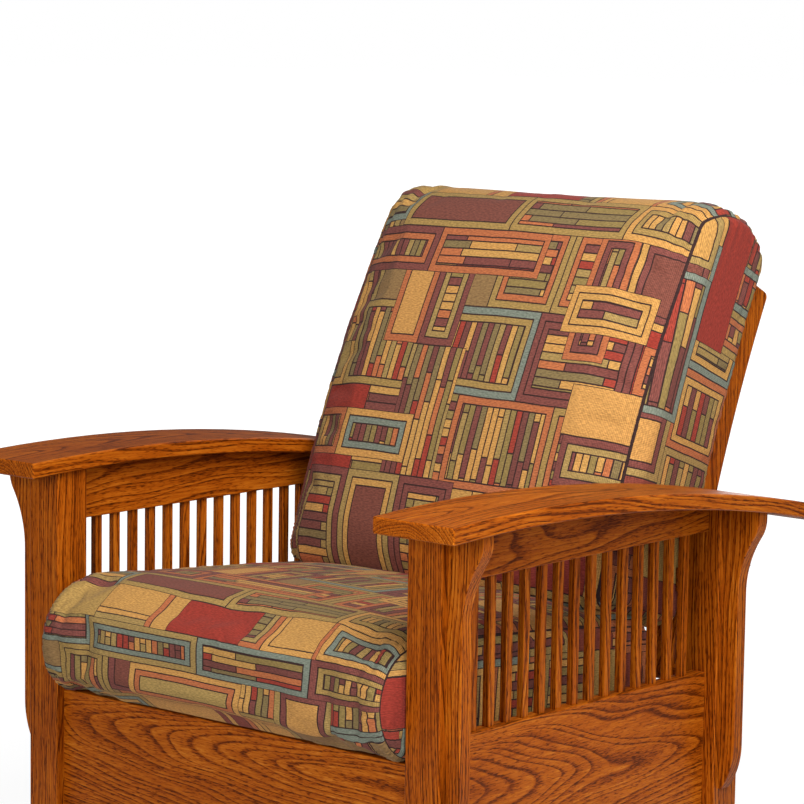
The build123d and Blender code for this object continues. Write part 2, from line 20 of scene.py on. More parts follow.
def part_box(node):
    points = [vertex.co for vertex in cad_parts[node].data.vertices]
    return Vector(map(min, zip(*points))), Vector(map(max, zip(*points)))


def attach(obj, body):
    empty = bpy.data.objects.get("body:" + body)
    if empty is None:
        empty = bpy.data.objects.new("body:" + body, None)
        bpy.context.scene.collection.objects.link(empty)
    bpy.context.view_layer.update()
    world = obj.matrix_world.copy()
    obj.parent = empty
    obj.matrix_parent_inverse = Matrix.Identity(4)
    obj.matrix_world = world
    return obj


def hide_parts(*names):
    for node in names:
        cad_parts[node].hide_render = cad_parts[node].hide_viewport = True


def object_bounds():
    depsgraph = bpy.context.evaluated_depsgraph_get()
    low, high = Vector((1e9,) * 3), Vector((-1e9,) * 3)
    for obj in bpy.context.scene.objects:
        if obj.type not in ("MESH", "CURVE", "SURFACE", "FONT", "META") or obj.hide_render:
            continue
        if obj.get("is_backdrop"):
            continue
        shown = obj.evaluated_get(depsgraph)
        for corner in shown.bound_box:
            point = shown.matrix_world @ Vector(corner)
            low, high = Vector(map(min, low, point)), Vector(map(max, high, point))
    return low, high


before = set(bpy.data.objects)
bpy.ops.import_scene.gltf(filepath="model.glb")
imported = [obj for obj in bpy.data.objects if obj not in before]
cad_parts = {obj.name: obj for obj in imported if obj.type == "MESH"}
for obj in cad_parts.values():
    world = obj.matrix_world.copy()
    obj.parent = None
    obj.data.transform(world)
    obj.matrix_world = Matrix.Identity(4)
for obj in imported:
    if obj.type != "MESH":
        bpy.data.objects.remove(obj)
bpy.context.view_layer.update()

MM = 0.001

# %% [markdown]
# ## The camera
#
# The photograph looks down a little from the chair's front left corner, seen from the front, and
# from far away, because the posts stay almost parallel. Its place and angles were solved from the
# edges of posts, arms and slats whose real places are known. A camera can be turned by Euler
# angles, but three plain turns, one after the other, are easier to read: roll, then pitch, then yaw.

# %% Camera
CAMERA_PLACE = (2.8368, -3.3497, 1.2451)
CAMERA_YAW = 40.47
CAMERA_DOWN = 7.26
CAMERA_ROLL = 0.84
CAMERA_LENS = 139.8

camera_data = bpy.data.cameras.new("camera")
camera_data.lens = CAMERA_LENS
camera = bpy.data.objects.new("camera", camera_data)
bpy.context.scene.collection.objects.link(camera)
yaw = Matrix.Rotation(math.radians(CAMERA_YAW), 4, "Z")
pitch = Matrix.Rotation(math.radians(90 - CAMERA_DOWN), 4, "X")
roll = Matrix.Rotation(math.radians(CAMERA_ROLL), 4, "Z")
camera.matrix_world = Matrix.Translation(CAMERA_PLACE) @ yaw @ pitch @ roll
bpy.context.scene.camera = camera
print("camera at", CAMERA_PLACE, "with a lens of", CAMERA_LENS, "mm")

# %% [markdown]
# ## Helpers for materials
#
# Colours are given as hex values in sRGB, the way a screen shows them, while shaders
# calculate in linear light. One function turns the one into the other. A second one adds a node,
# so that each material reads as a list of steps, and a third starts a material.

# %% Colour and node helpers
BLACK = (0, 0, 0, 1)
WHITE = (1, 1, 1, 1)
# The colour sockets of a Mix node, which share their names with its other sockets
MIX_A = 6
MIX_B = 7
MIX_RESULT = 2


def linear(hex_colour):
    """A colour such as C07A3C, as sRGB, in the linear values that a shader takes."""
    levels = [int(hex_colour[i : i + 2], 16) / 255 for i in (0, 2, 4)]
    curve = [v / 12.92 if v <= 0.04045 else ((v + 0.055) / 1.055) ** 2.4 for v in levels]
    return (*curve, 1.0)


def add_node(material, kind, inputs, stops=None, **settings):
    """Adds a node, makes its choices, gives a ramp its stops, and fills the node's inputs.

    Inputs come by name, or as a list in the node's own order. Each one is a value, another node's
    output, or a whole node, which stands for its first output.
    """
    node = material.node_tree.nodes.new("ShaderNode" + kind)
    for name, choice in settings.items():
        setattr(node, name, choice)
    for name, value in inputs.items() if isinstance(inputs, dict) else enumerate(inputs):
        if isinstance(value, bpy.types.Node):
            value = value.outputs[0]
        if isinstance(value, bpy.types.NodeSocket):
            material.node_tree.links.new(value, node.inputs[name])
        else:
            node.inputs[name].default_value = value
    if stops:
        ramp = node.color_ramp.elements
        for place, colour in stops[1:-1]:
            ramp.new(place).color = linear(colour)
        ramp[0].color = linear(stops[0][1])
        ramp[-1].position = stops[-1][0]
        ramp[-1].color = linear(stops[-1][1])
    return node


def empty_material(name):
    """A material with no nodes yet."""
    material = bpy.data.materials.new(name)
    material.use_nodes = True
    material.node_tree.nodes.clear()
    return material


print("a warm brown in linear light:", [round(v, 3) for v in linear("9D4909")[:3]])

# %% [markdown]
# ## Stained red oak
#
# Red oak is ring-porous: each year starts with a band of open pores, which drink the stain and go
# dark, and ends with dense wood, which stays light. A board is cut from a log, so the rings are
# cylinders about the heart of the tree, and the saw shows them as straight lines near the quarter
# and as nested arches on a flat face. An image of wood could be laid on each face, but then the
# grain wouldn't meet at the edges. Here the rings are worked out in space, with the heart placed
# beside each board, so that a face, its edge and its end all show the same tree.
#
# The heart leans a few degrees from the board, which closes the rings into arches. It isn't quite
# straight either: slow noise, long in the grain's direction, moves it about.

# %% Rings about the heart
RING_WIDTH = 4.8 * MM
# Waves a metre of the slow noise: through the board, across it and along its grain
SLOW_WAVES = (7, 7, 1.6)
NOISE_MEAN = 0.5
HEART_DRIFT = 60 * MM
# Good and poor years: how often they change in a metre of radius, and by how many rings
YEAR_CHANGES = 90
YEAR_SHIFT = 2.2


def seasons(wood, board, slow):
    """The time of year in which each spot grew, from 0 in spring to 1 in autumn."""
    drift = add_node(wood, "TexNoise", {"Vector": slow, "Scale": 1.0, "Detail": 2.0})
    drift = add_node(
        wood, "VectorMath", [drift.outputs["Color"], [NOISE_MEAN] * 3], operation="SUBTRACT"
    )
    drift = add_node(wood, "VectorMath", [drift, (HEART_DRIFT, HEART_DRIFT, 0)], operation="MULTIPLY")
    flat = add_node(wood, "VectorMath", [board, (1, 1, 0)], operation="MULTIPLY")
    moved = add_node(wood, "VectorMath", [flat, drift], operation="ADD")
    radius = add_node(wood, "VectorMath", [moved], operation="LENGTH").outputs["Value"]
    years = add_node(wood, "TexNoise", {"W": radius, "Scale": YEAR_CHANGES}, noise_dimensions="1D")
    extra = add_node(wood, "Math", [years, YEAR_SHIFT], operation="MULTIPLY")
    count = add_node(wood, "Math", [radius, 1 / RING_WIDTH, extra], operation="MULTIPLY_ADD")
    return add_node(wood, "Math", [count], operation="FRACT")


print("rings", round(RING_WIDTH / MM, 1), "mm wide")

# %% [markdown]
# Pores are thin dark dashes along the grain, most of them in the early wood. They could be a Voronoi
# texture, but noise that is stretched along the grain and cut off at a level gives dashes of
# uneven lengths, as real ones are. Those are 0.3 mm wide, too fine for a picture of the whole chair,
# so they are drawn 1.2 mm wide.

# %% Open pores
PORE_ACROSS = 1.2 * MM
PORE_ALONG = 13 * MM
# The noise's levels at which a pore begins and is fully dark
PORE_BEGINS = 0.54
PORE_FULL = 0.66
# The early wood's share of a year, and what is added to the noise at its start and after it
EARLY_SHARE = 0.6
EARLY_MORE = 0.1
LATE_LESS = -0.03


def open_pores(wood, board, season):
    """How much each spot is a pore, from 0 to 1."""
    waves = (1 / PORE_ACROSS, 1 / PORE_ACROSS, 1 / PORE_ALONG)
    fine = add_node(wood, "VectorMath", [board, waves], operation="MULTIPLY")
    noise = add_node(wood, "TexNoise", {"Vector": fine, "Scale": 1.0, "Detail": 1.0})
    early = add_node(wood, "MapRange", [season, 0.0, EARLY_SHARE, EARLY_MORE, LATE_LESS])
    noise = add_node(wood, "Math", [noise, early], operation="ADD")
    return add_node(wood, "MapRange", [noise, PORE_BEGINS, PORE_FULL, 0.0, 1.0])


print("pores", round(PORE_ACROSS / MM, 1), "by", round(PORE_ALONG / MM), "mm")

# %% [markdown]
# A bent arm keeps its fibres along the bow. The rings could follow an arc about the bow's centre,
# but the bow is shallow, so it is enough to take its rise away before the rings are worked out.

# %% Bend the grain with the arms
BOW_RADIUS = 3060 * MM
BOW_CREST_Y = -263 * MM


def straightened(wood, place):
    """Places on a bowed arm, as if it were straight."""
    parts = add_node(wood, "SeparateXYZ", [place]).outputs
    depth = add_node(wood, "Math", [parts["Y"], BOW_CREST_Y], operation="SUBTRACT")
    square = add_node(wood, "Math", [depth, depth], operation="MULTIPLY")
    per_square = 1 / (2 * BOW_RADIUS)
    level = add_node(wood, "Math", [square, per_square, parts["Z"]], operation="MULTIPLY_ADD")
    return add_node(wood, "CombineXYZ", [parts["X"], parts["Y"], level])


print("the arms' bow has a radius of", round(BOW_RADIUS / MM), "mm")

# %% [markdown]
# Streaks of fibre and slow clouds of stain keep two boards from being the same brown. Rings, fibres,
# clouds and pores could each be mixed in as a colour. Here they add up to one tone, and the colour
# is read from that, because a stain darkens open and dense wood along one row of browns.
#
# Satin lacquer lies in the pores too. Its shine is broad and weak, and takes on the stain's colour.

# %% Stain and lacquer
# From the darkest pore to the palest late wood
OAK_TONES = [
    (0, "4A1C02"), (0.25, "743104"), (0.5, "984808"), (0.74, "AF5E12"), (1, "C97F2C")
]
# The shade of one year: dark pores first, then ever denser and paler wood
YEAR_SHADES = [
    (0, "101010"), (0.16, "242424"), (0.34, "B4B4B4"), (0.9, "D8D8D8"), (1, "383838")
]
FIBRE_ACROSS = 2.5 * MM
FIBRE_ALONG = 75 * MM
CLOUD_SCALE = 1.6
# How much each part of the figure adds to the tone, and the start that puts their sum in the middle
RING_SHARE = 0.52
FIBRE_SHARE = 0.9
CLOUD_SHARE = 0.6
PORE_SHARE = 0.38
RING_MEAN = 0.6
PORE_MEAN = 0.25
MIDDLE_TONE = 0.5
BASE_TONE = (
    MIDDLE_TONE
    - RING_MEAN * RING_SHARE
    - NOISE_MEAN * (FIBRE_SHARE + CLOUD_SHARE)
    + PORE_MEAN * PORE_SHARE
)
PORE_DENT = {"Strength": 0.35, "Distance": 0.15 * MM}
LACQUER = {
    "Roughness": 0.45,
    "Specular IOR Level": 0.2,
    "Specular Tint": linear("D98F50"),
    "Coat Weight": 0.05,
    "Coat Roughness": 0.2,
}
AXES = {"X": Vector((1, 0, 0)), "Y": Vector((0, 1, 0)), "Z": Vector((0, 0, 1))}


def board_turn(grain, thick, lean):
    """Turns the chair's axes so that x runs through the board, y across it and z along its grain."""
    rows = Matrix((AXES[thick], AXES[grain].cross(AXES[thick]), AXES[grain]))
    return Matrix.Rotation(math.radians(lean), 3, "Y") @ rows


def stained_oak(name, turn, centre, from_heart, bent):
    """Red oak, stained orange-brown and lacquered satin: rings about a heart beside the board."""
    wood = empty_material(name)
    place = add_node(wood, "TexCoord", []).outputs["Object"]
    if bent:
        place = straightened(wood, place)
    shift = Vector(from_heart) - turn @ centre
    to_board = {"Vector": place, "Location": shift, "Rotation": turn.to_euler("XYZ")}
    board = add_node(wood, "Mapping", to_board)
    slow = add_node(wood, "VectorMath", [board, SLOW_WAVES], operation="MULTIPLY")
    season = seasons(wood, board, slow)
    pores = open_pores(wood, board, season)
    ring = add_node(wood, "ValToRGB", [season], stops=YEAR_SHADES)
    waves = (1 / FIBRE_ACROSS, 1 / FIBRE_ACROSS, 1 / FIBRE_ALONG)
    thread = add_node(wood, "VectorMath", [board, waves], operation="MULTIPLY")
    fibre = add_node(wood, "TexNoise", {"Vector": thread, "Scale": 1.0, "Detail": 3.0})
    cloud = add_node(wood, "TexNoise", {"Vector": slow, "Scale": CLOUD_SCALE, "Detail": 2.0})

    tone = BASE_TONE
    for figure, share in (
        (ring, RING_SHARE), (fibre, FIBRE_SHARE), (cloud, CLOUD_SHARE), (pores, -PORE_SHARE)
    ):
        tone = add_node(wood, "Math", [figure, share, tone], operation="MULTIPLY_ADD")
    colour = add_node(wood, "ValToRGB", [tone], stops=OAK_TONES)
    dent = add_node(wood, "Bump", {**PORE_DENT, "Height": pores}, invert=True)
    lacquered = add_node(
        wood, "BsdfPrincipled", {**LACQUER, "Base Color": colour, "Normal": dent}
    )
    add_node(wood, "OutputMaterial", [lacquered])
    return wood


print("tones start at", round(BASE_TONE, 3))

# %% [markdown]
# ## Which way each board is cut
#
# A joiner lays the grain along each piece. Posts are cut near the quarter, with straight lines on
# all four faces. Wide panels and arms are flat-sawn, with the heart close behind the face, and
# show arches. The table gives, for each kind of piece, the grain's axis, the axis through the
# board's thickness, how far the board's middle lies from the heart, and how much the heart leans.
#
# Each board comes from its own length of the log, and lies a little nearer to the heart or farther
# out, so that no two show the same figure.

# %% Cut the boards
CUTS = {
    "front_post": ("Z", "X", (88 * MM, 60 * MM), 0.5),
    "rear_post": ("Z", "X", (92 * MM, 52 * MM), 0.5),
    "arm": ("Y", "Z", (46 * MM, 14 * MM), 2.4),
    "front_corbel": ("Z", "Y", (70 * MM, 45 * MM), 0.8),
    "rear_corbel": ("Z", "Y", (64 * MM, 50 * MM), 0.8),
    "top_rail": ("Y", "X", (52 * MM, 10 * MM), 1.4),
    "side_panel": ("Y", "X", (36 * MM, 24 * MM), 4.2),
    "side_slat": ("Z", "X", (70 * MM, 30 * MM), 0.5),
    "front_panel": ("X", "Y", (-30 * MM, -38 * MM), 4.4),
    "rear_panel": ("X", "Y", (40 * MM, 20 * MM), 3.6),
    "seat_cleat": ("Y", "X", (60 * MM, 30 * MM), 1.0),
    "bar_ledger": ("Y", "X", (60 * MM, 30 * MM), 1.0),
    "back_post": ("Z", "X", (75 * MM, 50 * MM), 0.5),
    "back_pin": ("X", "Z", (60 * MM, 20 * MM), 0.5),
    "support_bar": ("X", "Z", (60 * MM, 20 * MM), 0.5),
    "back_bottom_rail": ("X", "Y", (50 * MM, 12 * MM), 1.8),
    "back_slat": ("X", "Y", (50 * MM, 12 * MM), 1.8),
    "back_top_rail": ("X", "Y", (50 * MM, 12 * MM), 1.8),
}
LOG_STEP = 618 * MM
SPREADS = 5
SPREAD_STEP = 0.125


def kind_of(node):
    """The kind of piece in the table of cuts that a node's name starts with."""
    return next((kind for kind in CUTS if node.startswith(kind)), None)


wooden = sorted(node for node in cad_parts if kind_of(node))
for number, node in enumerate(wooden):
    kind = kind_of(node)
    grain, thick, (deep, across), lean = CUTS[kind]
    spread = 1 + number % SPREADS * SPREAD_STEP
    from_heart = (deep * spread, across * spread, number * LOG_STEP)
    low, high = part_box(node)
    centre = (Vector(low) + Vector(high)) / 2
    turn = board_turn(grain, thick, lean)
    wood = stained_oak("stained_oak_" + node, turn, centre, from_heart, bent=kind == "arm")
    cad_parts[node].material_slots[0].material = wood
print(len(wooden), "boards cut")

# %% [markdown]
# ## Plywood seat deck
#
# The deck under the seat cushion is bare plywood, seen only from below and behind. Its face is
# rotary-cut, with broad pale figure, so slow stretched noise is enough.

# %% Plywood
PLY_TONES = [(0, "AC8754"), (0.35, "AC8754"), (0.65, "CDAE80")]
# Waves a metre: few along the face's grain, more across it
PLY_WAVES = (3, 26, 26)
PLY_ROUGHNESS = 0.75


def birch_plywood(name):
    """Bare rotary-cut plywood: pale, matt, with broad soft figure."""
    ply = empty_material(name)
    place = add_node(ply, "TexCoord", []).outputs["Object"]
    stretched = add_node(ply, "VectorMath", [place, PLY_WAVES], operation="MULTIPLY")
    figure = add_node(ply, "TexNoise", {"Vector": stretched, "Scale": 1.0, "Detail": 4.0})
    colour = add_node(ply, "ValToRGB", [figure], stops=PLY_TONES)
    bare = add_node(ply, "BsdfPrincipled", {"Base Color": colour, "Roughness": PLY_ROUGHNESS})
    add_node(ply, "OutputMaterial", [bare])
    return ply


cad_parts["seat_deck"].material_slots[0].material = birch_plywood("birch_plywood")
print("deck done")

# %% [markdown]
# ## Jacquard tapestry
#
# A jacquard loom sets each colour by bringing other threads to the face, so an area of one colour
# is never flat: it is a mix of warp and weft, ribbed or in slanting twill, with fine dark lines
# where two areas meet. The cover's design here is a plain patchwork: rows of oblong patches, some
# of one colour, some striped, some with a border, in earth colours.
#
# It could be painted, but the loom works by rule, and so can the shader. The Brick texture gives
# each brick a random grey, which a ramp with hard steps turns into a thread colour, and its
# mortar gives the outlines. Bricks inside bricks give the stripes. It all lies on the cover's own
# UV maps, which are in metres, so it bends round the nose of the cushion as cloth does.

# %% Oblongs and their random choices
PATCH_UNIT = 135 * MM
# Dark outlines between two areas, in that unit
OUTLINE_SHARE = 0.0075
# How a row of oblongs is shifted against the one before, and how often its oblongs are narrower
PATCH_BOND = {"offset": 0.41, "offset_frequency": 2, "squash": 0.66, "squash_frequency": 3}
# For each choice, what a patch's random number is multiplied by, and what is added to it
CHOICES = {
    "filling": (3.7, 0.0),
    "plain colour": (5.3, 0.4),
    "bar colour": (3.1, 0.2),
    "band": (9.7, 0.6),
    "inner band": (8.9, 0.66),
    "outer band": (7.9, 0.34),
    "shown": (6.1, 0.0),
    "rib": (13.1, 0.5),
}


def oblongs(cloth, spot, size, line, bond=PATCH_BOND):
    """A random grey for each oblong, and lines between the oblongs."""
    inputs = {
        "Vector": spot,
        "Color1": BLACK,
        "Color2": WHITE,
        "Mortar": BLACK,
        "Scale": 1 / PATCH_UNIT,
        "Mortar Size": line,
        "Mortar Smooth": 0.0,
        "Brick Width": size[0],
        "Row Height": size[1],
    }
    return add_node(cloth, "TexBrick", inputs, **bond).outputs


def shuffled(cloth, value, choice, seed):
    """Another random number from a patch's own one: what is left after the decimal point."""
    times, plus = CHOICES[choice]
    bigger = add_node(cloth, "Math", [value, times, seed + plus], operation="MULTIPLY_ADD")
    return add_node(cloth, "Math", [bigger], operation="FRACT")


def thread_colour(cloth, value, threads):
    """One of the threads, by a number from 0 to 1, each with the same share."""
    stops = [(i / len(threads), thread) for i, thread in enumerate(threads)]
    ramp = add_node(cloth, "ValToRGB", [value], stops=stops)
    ramp.color_ramp.interpolation = "CONSTANT"
    return ramp


print(len(CHOICES), "random choices for each patch")

# %% [markdown]
# A patch is filled with one colour, with lying bars or with standing bars. The bars are bricks too,
# long and thin, and the standing ones are laid on a map turned by a right angle.

# %% The filling of a patch
FILL_THREADS = [
    "9A7E48", "8C3024", "B88648", "724034", "8C7040", "A8603A", "94342A", "A28046", "7A3A2E",
    "846640", "B48546", "7C2E26",
]
BAR_THREADS = [
    "BA8848", "744038", "987C48", "92382A", "867040", "AE643C", "7A6742", "B88A4A", "6E3E36",
]
# Length and height of the bars, in the patches' unit, and how their rows are laid
LYING_BAR = (0.62, 0.088)
LYING_BOND = {"offset": 0.37, "offset_frequency": 2, "squash": 1.7, "squash_frequency": 2}
STANDING_BAR = (0.8, 0.078)
STANDING_BOND = {"offset": 0.29, "offset_frequency": 2, "squash": 0.6, "squash_frequency": 3}
STANDING_TURN = {"Rotation": (0, 0, math.radians(90)), "Location": (31 * MM, 17 * MM, 0)}
# The random numbers above which a patch has bars, and above which they stand
BARRED_ABOVE = 0.45
STANDING_ABOVE = 0.74


def filling(cloth, cover, value, seed):
    """The colour inside the patches, and the dark lines between their bars."""
    turned = add_node(cloth, "Mapping", {**STANDING_TURN, "Vector": cover})
    lying = oblongs(cloth, cover, LYING_BAR, OUTLINE_SHARE, LYING_BOND)
    standing = oblongs(cloth, turned, STANDING_BAR, OUTLINE_SHARE, STANDING_BOND)
    chance = shuffled(cloth, value, "filling", seed)
    barred = add_node(cloth, "Math", [chance, BARRED_ABOVE], operation="GREATER_THAN")
    stands = add_node(cloth, "Math", [chance, STANDING_ABOVE], operation="GREATER_THAN")
    bar_value, bar_line = [
        add_node(
            cloth, "Mix", {0: stands, MIX_A: lying[side], MIX_B: standing[side]}, data_type="RGBA"
        ).outputs[MIX_RESULT]
        for side in ("Color", "Fac")
    ]
    plain = thread_colour(cloth, shuffled(cloth, value, "plain colour", seed), FILL_THREADS)
    bars = thread_colour(cloth, shuffled(cloth, bar_value, "bar colour", seed), BAR_THREADS)
    colour = add_node(cloth, "Mix", {0: barred, MIX_A: plain, MIX_B: bars}, data_type="RGBA")
    line = add_node(cloth, "Math", [barred, bar_line], operation="MULTIPLY")
    return colour.outputs[MIX_RESULT], line


print("bars", round(LYING_BAR[1] * PATCH_UNIT / MM), "mm high")

# %% [markdown]
# Round its filling, a patch may have an inner and an outer band. A brick with broad mortar is a band
# already, and one with slightly broader mortar tells where the band's dark line runs.

# %% One layer of patches
BORDER_THREADS = ["BA8848", "72786A", "987A44", "744038", "B68848", "A8603A", "987C48"]
BAND_SHARE = 0.075
# The inner band lies over the filling and the outer band over both. For each: its name among the
# choices, how far it reaches in, and the random number above which a patch has it.
BANDS = [("inner band", 2 * BAND_SHARE, 0.66), ("outer band", BAND_SHARE, 0.34)]


def patch_layer(cloth, cover, size, seed):
    """A layer of oblong patches: their colour, their dark lines and a random number for each."""
    value = oblongs(cloth, cover, size, 0.0)["Color"]
    edge = oblongs(cloth, cover, size, OUTLINE_SHARE)["Fac"]
    colour, line = filling(cloth, cover, value, seed)
    for name, reach, level in BANDS:
        within = oblongs(cloth, cover, size, reach)["Fac"]
        around = oblongs(cloth, cover, size, reach + 2 * OUTLINE_SHARE)["Fac"]
        chance = shuffled(cloth, value, "band", seed)
        has_band = add_node(cloth, "Math", [chance, level], operation="GREATER_THAN")
        on_band = add_node(cloth, "Math", [has_band, within], operation="MULTIPLY")
        near_band = add_node(cloth, "Math", [has_band, around], operation="MULTIPLY")
        thread = thread_colour(cloth, shuffled(cloth, value, name, seed), BORDER_THREADS)
        colour = add_node(
            cloth, "Mix", {0: on_band, MIX_A: colour, MIX_B: thread}, data_type="RGBA"
        ).outputs[MIX_RESULT]
        off_band = add_node(cloth, "Math", [1.0, near_band], operation="SUBTRACT")
        line = add_node(cloth, "Math", [line, off_band], operation="MULTIPLY")
        band_line = add_node(cloth, "Math", [near_band, on_band], operation="SUBTRACT")
        line = add_node(cloth, "Math", [line, band_line], operation="MAXIMUM")
    line = add_node(cloth, "Math", [line, edge], operation="MAXIMUM")
    return colour, line, value


print("bands", round(BAND_SHARE * PATCH_UNIT / MM), "mm wide")

# %% [markdown]
# Three layers lie on each other. The lowest covers all of the cloth. Of the upper two only some
# patches show, so that they cover others in part, as in a design drawn by hand. A loom's lines are
# never quite true, so slow noise moves all of them by a millimetre or two.

# %% The design, layer on layer
# The patches' widths and heights in their unit, largest first
GROUND_PATCH = (1.26, 0.92)
GROUND_SEED = 0.11
# The upper layers' patches, each with the random number above which a patch shows
UPPER_PATCHES = [((0.74, 1.34), 0.58), ((1.5, 0.5), 0.62)]
LAYER_SHIFT = Vector((370 * MM, 230 * MM, 0))
LAYER_SEED = 0.31
SHOWN_SEED = 0.17
SWAY_WAVES = 9
SWAY = 5 * MM


def patchwork(cloth, flat):
    """The tapestry's design: thread colours, dark lines, and a random number for each patch."""
    sway = add_node(cloth, "TexNoise", {"Vector": flat, "Scale": SWAY_WAVES, "Detail": 1.0})
    sway = add_node(
        cloth, "VectorMath", [sway.outputs["Color"], (SWAY, SWAY, 0)], operation="MULTIPLY"
    )
    cover = add_node(cloth, "VectorMath", [flat, sway], operation="ADD")
    under = patch_layer(cloth, cover, GROUND_PATCH, GROUND_SEED)
    for number, (size, level) in enumerate(UPPER_PATCHES, start=1):
        place = add_node(cloth, "VectorMath", [cover, number * LAYER_SHIFT], operation="ADD")
        over = patch_layer(cloth, place, size, number * LAYER_SEED)
        chance = shuffled(cloth, over[-1], "shown", number * SHOWN_SEED)
        shown = add_node(cloth, "Math", [chance, level], operation="GREATER_THAN")
        under = [
            add_node(
                cloth, "Mix", {0: shown, MIX_A: below, MIX_B: above}, data_type="RGBA"
            ).outputs[MIX_RESULT]
            for below, above in zip(under, over)
        ]
    return under


print("ground patches in mm:", [round(side * PATCH_UNIT / MM) for side in GROUND_PATCH])

# %% [markdown]
# The weave goes over the whole design: fine ribs, along one way or the other from patch to patch,
# and slubs, the thicker stretches of a thread. Real threads are half a millimetre apart. They are
# drawn 2.3 mm apart, the finest that this picture shows.

# %% Ribs and slubs
THREAD_PITCH = 2.3 * MM
WEFT_FINER = 1.15
RIBBED_ABOVE = 0.5
CROSSED_SHARE = 0.6
# Waves a metre, across the cover and along it
SLUB_WAVES = (190, 640, 0)


def woven_threads(cloth, flat, value):
    """The height of the ribs at each spot, about 0, and the slubs' noise, from 0 to 1."""
    step = math.tau / THREAD_PITCH
    parts = add_node(cloth, "SeparateXYZ", [flat]).outputs
    warp = add_node(cloth, "Math", [parts["X"], step], operation="MULTIPLY")
    warp = add_node(cloth, "Math", [warp], operation="SINE")
    weft = add_node(cloth, "Math", [parts["Y"], step * WEFT_FINER], operation="MULTIPLY")
    weft = add_node(cloth, "Math", [weft], operation="SINE")
    chance = shuffled(cloth, value, "rib", 0.0)
    ribbed = add_node(cloth, "Math", [chance, RIBBED_ABOVE], operation="GREATER_THAN")
    ribs = add_node(cloth, "Mix", {0: ribbed, MIX_A: warp, MIX_B: weft}, data_type="RGBA")
    crossed = add_node(cloth, "Math", [warp, weft], operation="MULTIPLY")
    weave = add_node(
        cloth, "Math", [crossed, CROSSED_SHARE, ribs.outputs[MIX_RESULT]], operation="MULTIPLY_ADD"
    )
    spun = add_node(cloth, "VectorMath", [flat, SLUB_WAVES], operation="MULTIPLY")
    slubs = add_node(cloth, "TexNoise", {"Vector": spun, "Scale": 1.0, "Detail": 2.0})
    return weave, slubs


print("threads drawn", round(THREAD_PITCH / MM, 1), "mm apart")

# %% [markdown]
# The panel and the gussets have a UV map each. Which of the two counts is read from a value that
# each point of the cover carries: above zero it lies on the gusset of an end. At zero the two meet,
# and a thin dark line there shows the seam. The cloth is dull, with only a trace of sheen, because
# its cotton threads lie in all directions.

# %% Weave the tapestry
OUTLINE = "33201E"
SEAM_SHOWN = 0.035
WEAVE_SHARE = 0.11
# The range of weave and slubs, and the range of shade that it becomes
WEAVE_RANGE = (0.22, 0.78)
SHADE_RANGE = (0.5, 1.3)
WEAVE_RELIEF = 0.3
THREAD_DENT = {"Strength": 0.5, "Distance": 0.4 * MM}
DULL_COTTON = {
    "Roughness": 0.9,
    "Specular IOR Level": 0.2,
    "Sheen Weight": 0.04,
    "Sheen Roughness": 0.5,
}


def tapestry(name):
    """Jacquard tapestry: outlined patches, bars and bands in fine ribs, dull with a soft sheen."""
    cloth = empty_material(name)
    panel = add_node(cloth, "UVMap", [], uv_map="panel")
    gusset = add_node(cloth, "UVMap", [], uv_map="gusset")
    end = add_node(cloth, "Attribute", [], attribute_name="end").outputs["Fac"]
    beyond = add_node(cloth, "Math", [end, 0.0], operation="GREATER_THAN")
    flat = add_node(
        cloth, "Mix", {0: beyond, MIX_A: panel, MIX_B: gusset}, data_type="RGBA"
    ).outputs[MIX_RESULT]
    colour, line, value = patchwork(cloth, flat)
    weave, slubs = woven_threads(cloth, flat, value)

    sewn = add_node(cloth, "Math", [end, 0.0, SEAM_SHOWN], operation="COMPARE")
    line = add_node(cloth, "Math", [line, sewn], operation="MAXIMUM")
    lined = add_node(
        cloth, "Mix", {0: line, MIX_A: colour, MIX_B: linear(OUTLINE)}, data_type="RGBA"
    ).outputs[MIX_RESULT]
    shade = add_node(cloth, "Math", [weave, WEAVE_SHARE, slubs], operation="MULTIPLY_ADD")
    shade = add_node(cloth, "MapRange", [shade, *WEAVE_RANGE, *SHADE_RANGE])
    woven = add_node(
        cloth,
        "Mix",
        {0: 1.0, MIX_A: lined, MIX_B: shade},
        data_type="RGBA",
        blend_type="MULTIPLY",
    ).outputs[MIX_RESULT]
    height = add_node(cloth, "Math", [weave, WEAVE_RELIEF, slubs], operation="MULTIPLY_ADD")
    relief = add_node(cloth, "Bump", {**THREAD_DENT, "Height": height})
    dull = add_node(
        cloth, "BsdfPrincipled", {**DULL_COTTON, "Base Color": woven, "Normal": relief}
    )
    add_node(cloth, "OutputMaterial", [dull])
    return cloth


cushion_cloth = tapestry("jacquard_tapestry")
print("tapestry of", len(cushion_cloth.node_tree.nodes), "nodes")

# %% [markdown]
# ## The cushions' own directions
#
# Both cushions are a panel of cloth that runs round the foam, closed at each end by a flat gusset.
# To lay the cloth on them, each needs its own directions: along, the way the panel runs, and out,
# away from what carries it. The seat cushion lies on a slope of five degrees. The back cushion
# follows the curve of the back's posts, so its along is an arc about the same centre.

# %% Directions on each cushion
SEAT_NOSE = Vector((0, -438 * MM, 289.7 * MM))
SEAT_SLOPE = math.radians(5)
SEAT_HIGH = 155 * MM
SEAT_DEEP = 602 * MM
SEAT_NOSE_ROUND = 55 * MM
BACK_CENTRE = Vector((0, 2501 * MM, -191.8 * MM))
BACK_REAR = 2337.3 * MM
BACK_THICK = 170 * MM
BACK_LOW = math.radians(14.1)
BACK_LONG = 530 * MM


def seat_ways(point):
    """Where a point is on the seat cushion: across, along from the nose, and out from the deck."""
    from_nose = Matrix.Rotation(SEAT_SLOPE, 3, "X") @ (Vector(point) - SEAT_NOSE)
    return Vector((point[0], from_nose.y, from_nose.z))


